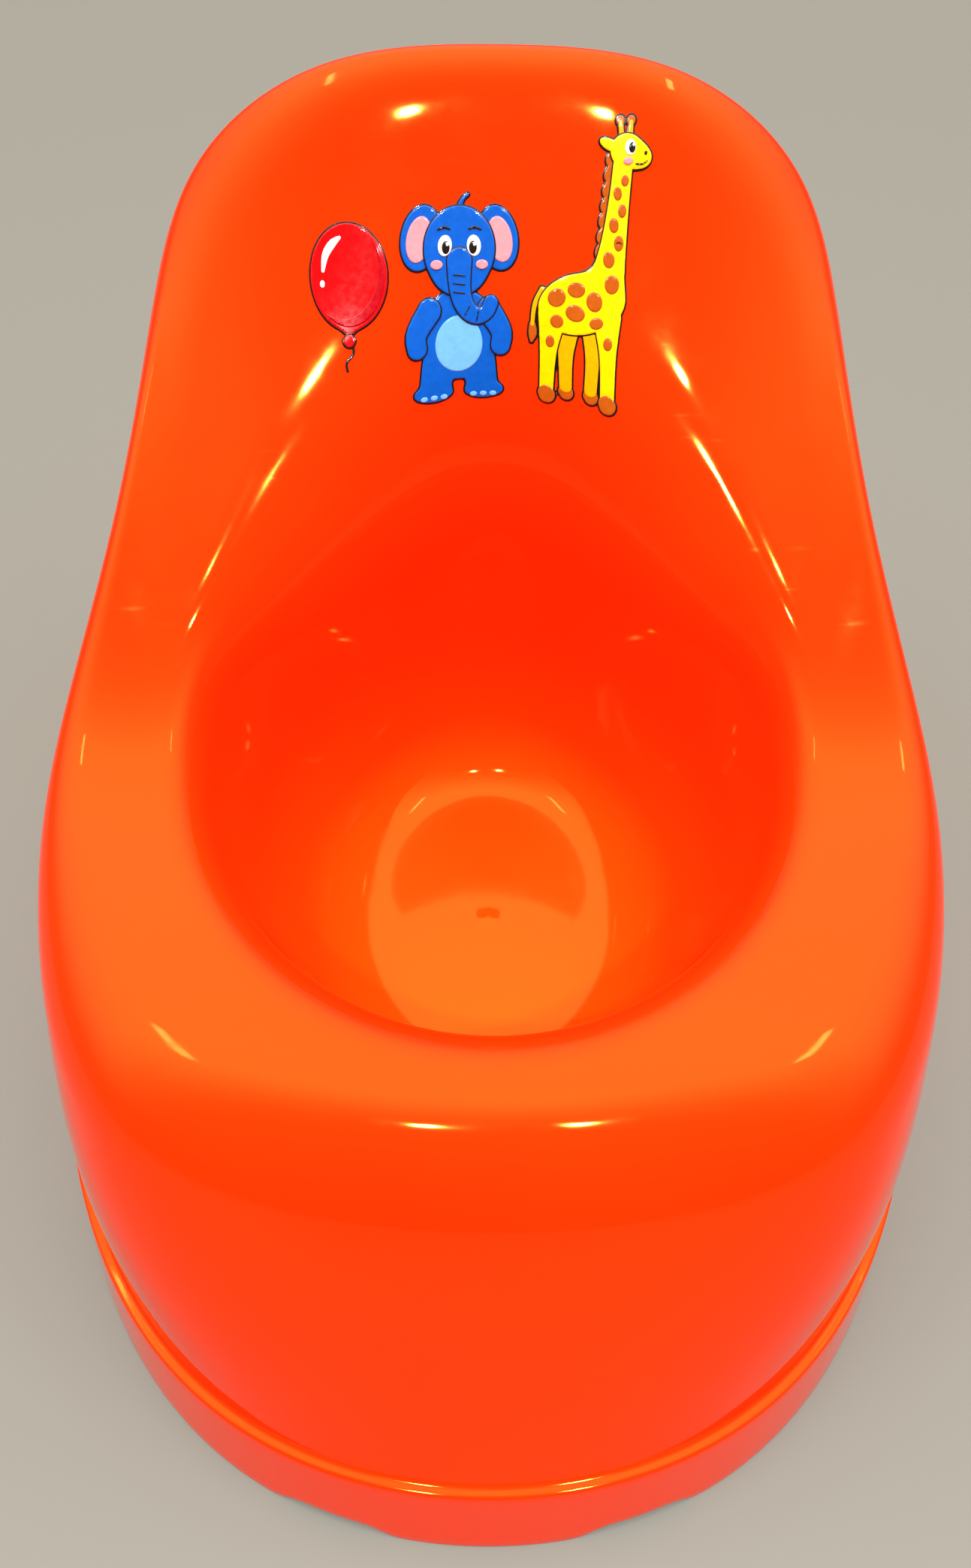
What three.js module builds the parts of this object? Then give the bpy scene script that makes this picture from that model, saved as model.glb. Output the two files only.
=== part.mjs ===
// Potty training chair: one glossy moulded shell, open underneath, with three stickers on its backrest.
// Millimetres, +Z up, X to the sitter's side, the front at -Y, the origin on the floor under the middle.
import * as THREE from "three";

const { lerp, smootherstep } = THREE.MathUtils;

// Foot skirt and ledge
const BASE_CENTRE_Y = 7;
const BASE_HALF_WIDTH = 155; // to the ledge's outer edge
const BASE_FRONT = 199;
const BASE_BACK = 190;
const BASE_SQUARENESS = 0.024; // how far the ellipse leans towards a rounded rectangle
const LEDGE_HEIGHT = 30;
const LEDGE_WIDTH = 3.5;
const FOOT_FLARE = 2.5; // how far the foot stands outside the ledge at the sides
const FOOT_FLARE_FRONT = 10.5;
const FOOT_FLARE_BACK = 5.5;
const WALL = 2.3;

// Two shallow relief arches in the lower edge of the foot, one each side of the front
const ARCH_TURN = 0.29; // radians round from the front to the middle of the arch
const ARCH_HALF_TURN = 0.14;
const ARCH_HEIGHT = 4;

// Bowl and the lip round its opening
const BOWL_Y = 14;
const BOWL_FLOOR_Z = 14;
const BOWL_FLOOR_HALF_WIDTH = 63; // to the corner that the floor and the funnel wall would make
const BOWL_FLOOR_REACH = 77;
const LIP_HALF_WIDTH = 95;
const LIP_FRONT = 95;
const LIP_BACK = 92;
const LIP_POINTING = -0.08; // leans the lip's back half towards a point, between the shoulders
const LIP_Z = 132;
const LIP_RISE = 48; // how much higher the lip lies at the back

// Rim: control points of a closed cubic B-spline for one half, from the front round to the backrest's top
const RIM_POINTS = [
  [0, -120, 132],
  [58, -113, 132],
  [120.5, -100, 132],
  [143, -33, 133],
  [144, 19, 134],
  [120.5, 77, 178],
  [114, 136, 203],
  [106, 180, 233],
  [58, 190.5, 265.5],
  [0, 192, 266.5],
];

// The brow tops the backrest's face, where it turns back into the band under the rim. It lies part of the
// way from the lip to the rim, and stands forward of that line on the backrest.
const BROW_AT_SEAT = 0.5;
const BROW_AT_BACK = 0.93;
const BROW_FORWARD = 7;

// The outer wall bows out half-way down at the front and its corners, and draws in at the sides
const BELLY_FRONT = 2;
const BELLY_CORNER = 7;
const BELLY_SIDE = -7;
const BELLY_BACK = 2;

// Setback of each rounding: how far from its corner the curve starts
const FLOOR_SETBACK = 28;
const LIP_SETBACK = 15;
const LIP_SETBACK_BACK = 45;
const BROW_SETBACKS = [1, 6, 16]; // at the front, sides and back
const RIM_SETBACKS = [28, 12, 14];
const BELLY_SETBACK = 34;
const LEDGE_SETBACK = 1.2;

// Stickers on the backrest: centre across and up, half width and half height
const STICKER_GAP = 0.5;
const STICKER_THICKNESS = 0.3;
const STICKERS = [
  { name: "sticker_balloon", colour: "#d9121b", x: -47, z: 212, width: 14, height: 16.5 },
  { name: "sticker_elephant", colour: "#1560c8", x: -12, z: 211, width: 19, height: 25 },
  { name: "sticker_giraffe", colour: "#ffc800", x: 29, z: 219.5, width: 20, height: 32.5 },
];

const SHELL_COLUMNS = 64;
const STICKER_RINGS = 4;
const STICKER_SPOKES = 36;
const FACE_RANGE = [0.6 * Math.PI, 1.4 * Math.PI]; // the backrest's face, in radians from the front

// Weights round the chair, with phi = 0 at the front and pi at the back.
const atFront = (phi) => smootherstep(Math.cos(phi), 0, 0.95);
const atBack = (phi) => smootherstep(-Math.cos(phi), 0, 1);
const round = (phi, front, side, back) => lerp(lerp(side, back, atBack(phi)), front, atFront(phi));

// A point of an oval: an ellipse, leaned towards a rectangle by the third harmonic of its angle. Its reach goes
// smoothly from front to back: the mean times the cosine, plus half the difference times the cosine squared.
function oval(phi, halfWidth, front, back, centreY, z, squareness = 0) {
  const across = (Math.sin(phi) + squareness * Math.sin(3 * phi)) / (1 - squareness);
  const along = (Math.cos(phi) - squareness * Math.cos(3 * phi)) / (1 - squareness);
  const reach = 0.5 * (front + back) * along + 0.5 * (front - back) * along ** 2;
  return new THREE.Vector3(halfWidth * across, centreY - reach, z);
}

// An oval of the base, standing out from the ledge's outer edge by so much at the side, front and back.
function baseOval(phi, z, side, front, back) {
  return oval(phi, BASE_HALF_WIDTH + side, BASE_FRONT + front, BASE_BACK + back,
    BASE_CENTRE_Y, z, BASE_SQUARENESS);
}

const rightHalf = RIM_POINTS.map((p) => new THREE.Vector3(...p));
const leftHalf = rightHalf.slice(1, -1).reverse().map((p) => new THREE.Vector3(-p.x, p.y, p.z));
const rimControls = [...rightHalf, ...leftHalf];

// A point of the closed uniform cubic B-spline through the rim's control points.
function rim(phi) {
  const count = rimControls.length;
  const place = (phi / (2 * Math.PI)) * count;
  const first = Math.floor(place);
  const u = place - first;
  const weights = [
    (1 - u) ** 3,
    3 * u ** 3 - 6 * u ** 2 + 4,
    -3 * u ** 3 + 3 * u ** 2 + 3 * u + 1,
    u ** 3,
  ];
  const point = new THREE.Vector3();
  weights.forEach((weight, k) => {
    point.addScaledVector(rimControls[(first + k - 1 + 2 * count) % count], weight / 6);
  });
  return point;
}

const bowlCentre = () => new THREE.Vector3(0, BOWL_Y, BOWL_FLOOR_Z);
const floorEdge = (phi) =>
  oval(phi, BOWL_FLOOR_HALF_WIDTH, BOWL_FLOOR_REACH, BOWL_FLOOR_REACH, BOWL_Y, BOWL_FLOOR_Z);

// The lip is level at the front and climbs over the shoulders, in a straight climb with a soft start.
function lip(phi) {
  const toBack = -Math.cos(phi);
  const pointing = LIP_POINTING * smootherstep(toBack, 0, 0.8);
  const climb = 0.5 * (toBack + Math.sqrt(toBack ** 2 + 0.04));
  return oval(phi, LIP_HALF_WIDTH, LIP_FRONT, LIP_BACK, BOWL_Y, LIP_Z + LIP_RISE * climb, pointing);
}

function brow(phi) {
  const point = lip(phi).lerp(rim(phi), round(phi, BROW_AT_SEAT, BROW_AT_SEAT, BROW_AT_BACK));
  point.y -= BROW_FORWARD * smootherstep(-Math.cos(phi), 0.2, 1);
  return point;
}

const ledgeInner = (phi) => baseOval(phi, LEDGE_HEIGHT, -LEDGE_WIDTH, -LEDGE_WIDTH, -LEDGE_WIDTH);
const ledgeOuter = (phi) => baseOval(phi, LEDGE_HEIGHT, 0, 0, 0);

function belly(phi) {
  const corner = Math.cos(phi) > 0 ? BELLY_CORNER * Math.sin(2 * phi) ** 2 : 0;
  const bow = round(phi, BELLY_FRONT, BELLY_SIDE, BELLY_BACK) + corner;
  const out = new THREE.Vector3(Math.sin(phi), -Math.cos(phi), 0);
  return rim(phi).lerp(ledgeInner(phi), 0.5).addScaledVector(out, bow);
}

// The foot's lower edge: flat on the floor, but lifted along the skirt in the two relief arches.
function foot(phi) {
  const turn = Math.abs(Math.atan2(Math.sin(phi), Math.cos(phi)));
  const inArch = 1 - smootherstep(Math.abs(turn - ARCH_TURN), 0.35 * ARCH_HALF_TURN, ARCH_HALF_TURN);
  const onFloor = baseOval(phi, 0, FOOT_FLARE, FOOT_FLARE_FRONT, FOOT_FLARE_BACK);
  return onFloor.lerp(ledgeOuter(phi), (inArch * ARCH_HEIGHT) / LEDGE_HEIGHT);
}

// The corners of a section, from the bowl's axis over the rim to the foot. steps is the number of steps
// round a corner, and run is the number of steps along the straight stretch that follows it.
const CORNERS = [
  { at: floorEdge, setback: () => FLOOR_SETBACK, steps: 5, run: 2 },
  {
    at: lip,
    setback: (phi) => lerp(LIP_SETBACK, LIP_SETBACK_BACK, smootherstep(-Math.cos(phi), 0.1, 0.95)),
    steps: 5,
    run: 3,
  },
  { at: brow, setback: (phi) => round(phi, ...BROW_SETBACKS), steps: 3, run: 1 },
  { at: rim, setback: (phi) => round(phi, ...RIM_SETBACKS), steps: 5, run: 2 },
  { at: belly, setback: () => BELLY_SETBACK, steps: 2, run: 1 },
  { at: ledgeInner, setback: () => LEDGE_SETBACK, steps: 1, run: 1 },
  { at: ledgeOuter, setback: () => LEDGE_SETBACK, steps: 1, run: 1 },
];

// Rounds the corners of a section with quadratic curves; the first and last points stay as they are. Where two
// neighbours' setbacks would take nearly all of the stretch between them, both shrink to fit.
function roundCorners(points, setbacks) {
  const reach = [0, ...setbacks, 0];
  const shares = points.slice(1).map((point, k) =>
    Math.min(1, (0.96 * point.distanceTo(points[k])) / (reach[k] + reach[k + 1])));
  const out = [points[0]];
  const goTo = (point, run) => {
    const from = out.at(-1);
    for (let step = 1; step <= run; step++) out.push(from.clone().lerp(point, step / run));
  };
  let run = 1;
  CORNERS.forEach((corner, k) => {
    const [before, here, after] = points.slice(k, k + 3);
    const back = before.clone().sub(here).normalize();
    const on = after.clone().sub(here).normalize();
    const start = here.clone().addScaledVector(back, setbacks[k] * shares[k]);
    const end = here.clone().addScaledVector(on, setbacks[k] * shares[k + 1]);
    goTo(start, run);
    for (let step = 1; step <= corner.steps; step++) {
      const t = step / corner.steps;
      const point = new THREE.Vector3().addScaledVector(start, (1 - t) ** 2);
      out.push(point.addScaledVector(here, 2 * t * (1 - t)).addScaledVector(end, t ** 2));
    }
    run = corner.run;
  });
  goTo(points.at(-1), run);
  return out;
}

const RINGS = [bowlCentre, ...CORNERS.map((corner) => corner.at), foot];
const sectionCorners = (phi) => RINGS.map((ring) => ring(phi));
const setbacksAt = (phi) => CORNERS.map((corner) => corner.setback(phi));

function outerSection(phi) {
  return roundCorners(sectionCorners(phi), setbacksAt(phi));
}

// The underside: each corner moves one wall thickness in, along the mitre of the two walls that meet there.
function innerSection(phi) {
  const points = sectionCorners(phi);
  const ahead = sectionCorners(phi + 0.01);
  const behind = sectionCorners(phi - 0.01);
  const setbacks = setbacksAt(phi);
  const inner = points.map((point) => point.clone());
  inner[0].z -= WALL;
  for (let k = 1; k < points.length - 1; k++) {
    const along = ahead[k].clone().sub(behind[k]).normalize();
    const into = points[k].clone().sub(points[k - 1]).normalize();
    const onward = points[k + 1].clone().sub(points[k]).normalize();
    const normalIn = into.clone().cross(along).normalize();
    const normalOn = onward.clone().cross(along).normalize();
    const together = 1 + normalIn.dot(normalOn);
    inner[k].addScaledVector(normalIn.clone().add(normalOn), -WALL / together);
    const bend = Math.tan(0.5 * into.angleTo(onward));
    const convex = Math.sign(into.clone().cross(onward).dot(along));
    setbacks[k - 1] = Math.max(0.3, setbacks[k - 1] + convex * WALL * bend);
  }
  const last = points.length - 1;
  inner[last].copy(points[last]).addScaledVector(inwards(phi), WALL);
  return roundCorners(inner, setbacks);
}

// The level direction from the base's outline towards its inside.
function inwards(phi) {
  const ahead = baseOval(phi + 0.01, 0, 0, 0, 0);
  const along = ahead.sub(baseOval(phi - 0.01, 0, 0, 0, 0)).normalize();
  return new THREE.Vector3(-along.y, along.x, 0);
}

// The shell: sections over the top and back under it, closed at the bowl's centre above and below.
function shellGeometry() {
  const columns = [];
  for (let c = 0; c < SHELL_COLUMNS; c++) {
    const phi = (2 * Math.PI * c) / SHELL_COLUMNS;
    columns.push([...outerSection(phi).slice(1), ...innerSection(phi).slice(1).reverse()]);
  }
  const rows = columns[0].length;
  const top = bowlCentre();
  const bottom = bowlCentre().setZ(BOWL_FLOOR_Z - WALL);
  const positions = [...columns.flat(), top, bottom].flatMap((point) => point.toArray());
  const topIndex = columns.length * rows;
  const triangles = [];
  columns.forEach((_, c) => {
    const here = c * rows;
    const next = ((c + 1) % SHELL_COLUMNS) * rows;
    triangles.push(topIndex, here, next);
    for (let r = 0; r < rows - 1; r++) {
      triangles.push(here + r, here + r + 1, next + r);
      triangles.push(next + r, here + r + 1, next + r + 1);
    }
    triangles.push(topIndex + 1, next + rows - 1, here + rows - 1);
  });
  return geometryOf(positions, triangles);
}

function geometryOf(positions, triangles) {
  const geometry = new THREE.BufferGeometry();
  geometry.setAttribute("position", new THREE.Float32BufferAttribute(positions, 3));
  geometry.setIndex(triangles);
  geometry.computeVertexNormals();
  return geometry;
}

// Where a section crosses a height on the backrest's face. A section too low to reach it has no such point.
function sectionAtHeight(phi, z) {
  const points = outerSection(phi);
  const k = points.findIndex((point, i) => i > 1 && point.z >= z && points[i - 1].z < z);
  if (k < 0) return undefined;
  const [low, high] = [points[k - 1], points[k]];
  return low.clone().lerp(high, (z - low.z) / (high.z - low.z));
}

// The point of the backrest's face at so far across and so high, found by halving the angle's range. A section
// that is too low lies beyond every point that is so high.
function facePoint(x, z) {
  let [low, high] = FACE_RANGE;
  for (let i = 0; i < 24; i++) {
    const middle = 0.5 * (low + high);
    const beyond = middle < Math.PI ? Infinity : -Infinity;
    if ((sectionAtHeight(middle, z)?.x ?? beyond) > x) low = middle;
    else high = middle;
  }
  return sectionAtHeight(0.5 * (low + high), z);
}

// A sticker: rings of points inside an oval outline, laid on the face and given a thickness.
function stickerGeometry({ x, z, width, height }) {
  const lower = [];
  const upper = [];
  const lay = (across, up) => {
    const point = facePoint(across, up);
    const right = facePoint(across + 0.5, up).sub(facePoint(across - 0.5, up));
    const rise = facePoint(across, up + 0.5).sub(facePoint(across, up - 0.5));
    const normal = right.cross(rise).normalize();
    lower.push(point.clone().addScaledVector(normal, STICKER_GAP));
    upper.push(point.clone().addScaledVector(normal, STICKER_GAP + STICKER_THICKNESS));
  };
  lay(x, z);
  for (let ring = 1; ring <= STICKER_RINGS; ring++) {
    for (let spoke = 0; spoke < STICKER_SPOKES; spoke++) {
      const turn = (2 * Math.PI * spoke) / STICKER_SPOKES;
      const reach = ring / STICKER_RINGS;
      lay(x + width * reach * Math.sin(turn), z + height * reach * Math.cos(turn));
    }
  }
  const half = lower.length;
  const at = (ring, spoke) => 1 + (ring - 1) * STICKER_SPOKES + (spoke % STICKER_SPOKES);
  const triangles = [];
  const both = (a, b, c) => triangles.push(a, b, c, c + half, b + half, a + half);
  for (let spoke = 0; spoke < STICKER_SPOKES; spoke++) {
    both(0, at(1, spoke), at(1, spoke + 1));
    for (let ring = 1; ring < STICKER_RINGS; ring++) {
      both(at(ring, spoke), at(ring + 1, spoke), at(ring, spoke + 1));
      both(at(ring, spoke + 1), at(ring + 1, spoke), at(ring + 1, spoke + 1));
    }
    const edge = at(STICKER_RINGS, spoke);
    const next = at(STICKER_RINGS, spoke + 1);
    triangles.push(edge, edge + half, next, next, edge + half, next + half);
  }
  return geometryOf([...lower, ...upper].flatMap((point) => point.toArray()), triangles);
}

function addMesh(group, name, geometry, colour, roughness) {
  const material = new THREE.MeshStandardMaterial({ color: colour, roughness, metalness: 0 });
  const mesh = new THREE.Mesh(geometry, material);
  mesh.name = name;
  group.add(mesh);
}

const chair = new THREE.Group();
addMesh(chair, "potty_shell", shellGeometry(), "#f93806", 0.07);
for (const sticker of STICKERS) {
  addMesh(chair, sticker.name, stickerGeometry(sticker), sticker.colour, 0.2);
}

export default chair;
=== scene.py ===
from math import cos, pi, radians, sin

import bpy
import numpy as np
from mathutils import Matrix, Vector


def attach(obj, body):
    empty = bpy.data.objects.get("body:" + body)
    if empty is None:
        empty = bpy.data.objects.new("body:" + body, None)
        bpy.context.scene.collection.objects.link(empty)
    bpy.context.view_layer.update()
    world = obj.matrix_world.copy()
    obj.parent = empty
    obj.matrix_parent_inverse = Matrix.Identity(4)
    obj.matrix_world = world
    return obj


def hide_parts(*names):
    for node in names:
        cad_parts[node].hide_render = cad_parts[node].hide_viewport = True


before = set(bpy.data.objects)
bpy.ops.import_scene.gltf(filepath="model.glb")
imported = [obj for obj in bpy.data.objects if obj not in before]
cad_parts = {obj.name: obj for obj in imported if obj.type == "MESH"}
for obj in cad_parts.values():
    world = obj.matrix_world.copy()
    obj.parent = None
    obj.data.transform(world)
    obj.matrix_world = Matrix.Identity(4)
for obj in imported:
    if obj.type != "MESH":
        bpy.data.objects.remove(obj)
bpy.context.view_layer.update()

bl_info = {
    "name": "Potty Chair",
    "version": (1, 0, 0),
    "blender": (4, 5, 0),
    "location": "3D View > Sidebar > Potty",
    "description": "Builds a one-piece moulded potty chair with nursery stickers on its backrest",
    "category": "Add Mesh",
}

MM = 0.001  # every size below is in millimetres until a mesh is made

# Foot skirt and ledge
BASE_CENTRE_Y = 7.0
BASE_HALF_WIDTH = 155.0
BASE_FRONT = 199.0
BASE_BACK = 190.0
BASE_SQUARENESS = 0.024
LEDGE_HEIGHT = 30.0
LEDGE_WIDTH = 3.5
FOOT_FLARE = 2.5
FOOT_FLARE_FRONT = 10.5
FOOT_FLARE_BACK = 5.5
ARCH_TURN = 0.29
ARCH_HALF_TURN = 0.14
ARCH_HEIGHT = 4.0

# Bowl and lip
BOWL_Y = 14.0
BOWL_FLOOR_Z = 14.0
BOWL_FLOOR_HALF_WIDTH = 63.0
BOWL_FLOOR_REACH = 77.0
LIP_HALF_WIDTH = 95.0
LIP_FRONT = 95.0
LIP_BACK = 92.0
LIP_POINTING = -0.08  # third harmonic of the lip's angle at the back, which shapes the mouth at the shoulders
LIP_Z = 132.0
LIP_RISE = 48.0  # how much higher the lip lies at the back

# Control points of the rim's closed cubic B-spline, one half, from the front to the top of the backrest
RIM_POINTS = (
    (0, -120, 132),
    (58, -113, 132),
    (120.5, -100, 132),
    (143, -33, 133),
    (144, 19, 134),
    (120.5, 77, 178),
    (114, 136, 203),
    (106, 180, 233),
    (58, 190.5, 265.5),
    (0, 192, 266.5),
)

# The brow tops the backrest's face, where it turns back into the band under the rim
BROW_AT_SEAT = 0.5
BROW_AT_BACK = 0.93
BROW_FORWARD = 7.0

# How far the outer wall bows out half-way down, at the front, sides and back, and more at the front corners
BELLY_FRONT = 2.0
BELLY_SIDE = -7.0
BELLY_BACK = 2.0
BELLY_CORNER = 7.0

# How far from each corner of the section its rounding starts
FLOOR_ROLL = 28.0
LIP_ROLL_GAIN = 30.0  # what the lip's rounding grows by towards the back
BROW_ROLLS = (1.0, 6.0, 16.0)  # at the front, sides and back
RIM_ROLL_FRONT = 28.0
RIM_ROLL_BACK_GAIN = 2.0
BELLY_ROLL = 34.0
LEDGE_INNER_ROLL = 1.4
LEDGE_OUTER_ROLL = 1.1
FOOT_ROLL = 0.6
MOST_ROUNDED = 0.96  # of any stretch between two corners

# Rows of the mesh: straight from the bowl's axis to its floor's rounding, then round and after each
# corner of the underside, from the foot's outer edge to the axis
FLOOR_RUN = 18
UNDER_STEPS = (3, 3, 3, 3, 6, 8, 5, 7, 7)
UNDER_RUNS = (1, 6, 1, 4, 4, 2, 8, 5, 4)
COLUMNS = 320
ALONG = 0.01  # turn to each side that gives a ring's direction, in radians

NUB_HEIGHT = 0.7

# Each sticker's centre across and up the chair. Its motif is drawn in millimetres from there, and the
# face leans back, so that it climbs 0.8 of every millimetre drawn upwards.
BALLOON_AT = (-47.0, 212.0)
ELEPHANT_AT = (-12.0, 211.0)
GIRAFFE_AT = (29.0, 219.5)
FACE_CLIMB = 0.8
STICKER_LIFT = 0.15  # from the face to the first layer of ink
LAYER_STEP = 1.15  # from one layer to the next, in films
OUTLINE = 0.55  # width of the dark line round every motif
DRAWING_PITCH = 0.4  # of the grid that the layers are cut from
GRADIENT_STEP = 0.02
LEAST_SLOPE = 0.3  # squared; keeps an edge point from leaping where the distance is nearly flat
LONGEST_MOVE = 0.6 * DRAWING_PITCH
FACE_SECTIONS = np.linspace(0.62, 1.38, 191) * pi  # the sections that cross the backrest's face

# Finishes
POLYPROPYLENE_IOR = 1.49
SHEEN = "#FFD052"  # a warm tint of the reflections, so that they don't wash the orange out
# Painted light: the shell turns paler round the gate on the bowl's floor, a painted pool of light
PAINTED_LIGHT_EDGES = (60.0, 115.0)  # how far from the gate the paler shade is at its most, and gone
PAINTED_LIGHT_SHARE = 0.75
FLOW_LENGTH = 111.0
FLOW_SHARE = 0.08
RIPPLE_LENGTH = 29.4
RIPPLE_HEIGHT = 1.2
RIPPLE_STRENGTH = 0.12
HAZE_LENGTH = 16.7
POLISH = (0.04, 0.08)  # roughness where the surface is cleanest and haziest
SCUFF_SIZE = (25.0, 10 / 3, 5.0)
SCUFF_TURN = (0.5, 0.3, 1.1)
SCUFF_ROUGHNESS = 0.06
INK_IOR = 1.5
INK_SPECULAR = 0.3  # below the usual 0.5, so that the inks stay deep
INK_MOTTLE = 2.08
INK_VALUES = (0.92, 1.08)
INK_ROUGHNESS = (0.06, 0.1)

# Lamps in the ceiling: places in metres, then watts
CEILING_HEIGHT = 2.2
DOWNLIGHTS = ((-0.22, -1.03, 24.0), (0.36, -0.97, 24.0))
DOWNLIGHT_SIZE = 0.08
TUBES = ((-0.9, 0.1, 1.4), (1.0, 0.1, 1.4))
TUBE_SIZE = (0.08, 0.35)

# The room's brightness by the height of the way looked in, from the lowest to the highest
SKY_HEIGHTS = (0.2, 1.0)
SKY_STRENGTHS = (0.18, 3.7)
DARK_SIDE = (0.0, -0.86, 0.51)  # the way to the middle of the room's dark side
DARK_SIDE_EDGES = (0.4, 0.88)  # cosines from the middle: full light outside the first, dark inside the second
DARK_SIDE_LIGHT = 0.05

FLOOR_HALF = 6000.0
FLOOR_DROP = 0.2  # keeps the floor just clear of the foot

CAMERA_PLACE = (-0.006, -0.242, 0.5128)
CAMERA_PITCH = 57.46
CAMERA_TURN = 0.87
CAMERA_ROLL = 1.2
CAMERA_LENS = 32.77
CAMERA_SENSOR = 36.0


class PottySizes(bpy.types.PropertyGroup):
    """Sizes of the moulding that a user would change."""

    wall: bpy.props.FloatProperty(
        name="Wall", description="Thickness of the moulded wall", default=0.0023, unit="LENGTH"
    )
    lip_roll: bpy.props.FloatProperty(
        name="Lip roll",
        description="How far from the lip's corner its rounding starts, at the front and sides",
        default=0.015,
        unit="LENGTH",
    )
    rim_roll: bpy.props.FloatProperty(
        name="Rim roll",
        description="How far from the rim's corner its rounding starts, along the sides",
        default=0.012,
        unit="LENGTH",
    )
    nub_radius: bpy.props.FloatProperty(
        name="Gate nub",
        description="Radius of the trimmed moulding gate in the middle of the bowl's floor",
        default=0.0022,
        unit="LENGTH",
    )
    film: bpy.props.FloatProperty(
        name="Sticker film",
        description="Thickness of each printed layer of a sticker",
        default=0.00008,
        unit="LENGTH",
    )


class PottyColours(bpy.types.PropertyGroup):
    """Colours of the plastic, the inks and the floor, as sRGB hex values."""

    shell: bpy.props.StringProperty(
        name="Shell", description="Orange polypropylene", default="#F92E04"
    )
    # Painted light: this paler shade is painted round the gate as a pool of light on the bowl's floor; the
    # moulded wall is no thinner there.
    shell_painted_light: bpy.props.StringProperty(
        name="Pale shell", description="The same plastic where the wall is thin", default="#FF4E05"
    )
    outline: bpy.props.StringProperty(name="Outline", description="Line ink", default="#1E1512")
    white: bpy.props.StringProperty(name="White", description="Eyes and shines", default="#FBF7F0")
    red: bpy.props.StringProperty(name="Red", description="Balloon", default="#DE0409")
    deep_red: bpy.props.StringProperty(
        name="Deep red", description="Balloon's shaded edge", default="#B40010"
    )
    blue: bpy.props.StringProperty(name="Blue", description="Elephant", default="#1058BE")
    pale_blue: bpy.props.StringProperty(name="Pale blue", description="Belly and toes", default="#6FB1F0")
    pink: bpy.props.StringProperty(name="Pink", description="Ears and cheeks", default="#F2919A")
    yellow: bpy.props.StringProperty(name="Yellow", description="Giraffe", default="#FFCC00")
    deep_yellow: bpy.props.StringProperty(name="Deep yellow", description="Far legs", default="#E8A400")
    brown: bpy.props.StringProperty(name="Brown", description="Spots and hooves", default="#B5530F")
    floor: bpy.props.StringProperty(name="Floor", description="Stage floor", default="#74726A")


# ---------------------------------------------------------------- materials


def linear(hex_colour):
    """The linear RGBA of an sRGB hex value, by the sRGB transfer curve."""
    channels = np.array([int(hex_colour[i : i + 2], 16) for i in (1, 3, 5)]) / 255
    low = channels / 12.92
    high = ((channels + 0.055) / 1.055) ** 2.4
    return (*np.where(channels <= 0.04045, low, high).tolist(), 1.0)


def add_node(material, kind, settings=None, **links):
    """Adds a node: settings are its properties and unlinked inputs, links join sockets to its inputs."""
    node = material.node_tree.nodes.new(kind)
    for key, value in (settings or {}).items():
        if key in node.inputs:
            node.inputs[key].default_value = value
        else:
            setattr(node, key, value)
    for key, source in links.items():
        material.node_tree.links.new(source, node.inputs[key.replace("_", " ")])
    return node


def new_material(name):
    """A material with an empty node tree but for its output and its shader."""
    material = bpy.data.materials.new(name)
    material.use_nodes = True
    material.node_tree.nodes.clear()
    shader = add_node(material, "ShaderNodeBsdfPrincipled")
    output = add_node(material, "ShaderNodeOutputMaterial")
    material.node_tree.links.new(shader.outputs[0], output.inputs[0])
    return material, shader


def noise(feature, detail, roughness):
    """Settings of a noise whose features are about so many millimetres long."""
    return {"Scale": 1 / (feature * MM), "Detail": detail, "Roughness": roughness}


def spread(low, high, to_low, to_high, **more):
    """Settings that take the range from low to high to another range."""
    return {"From Min": low, "From Max": high, "To Min": to_low, "To Max": to_high, **more}


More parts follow.
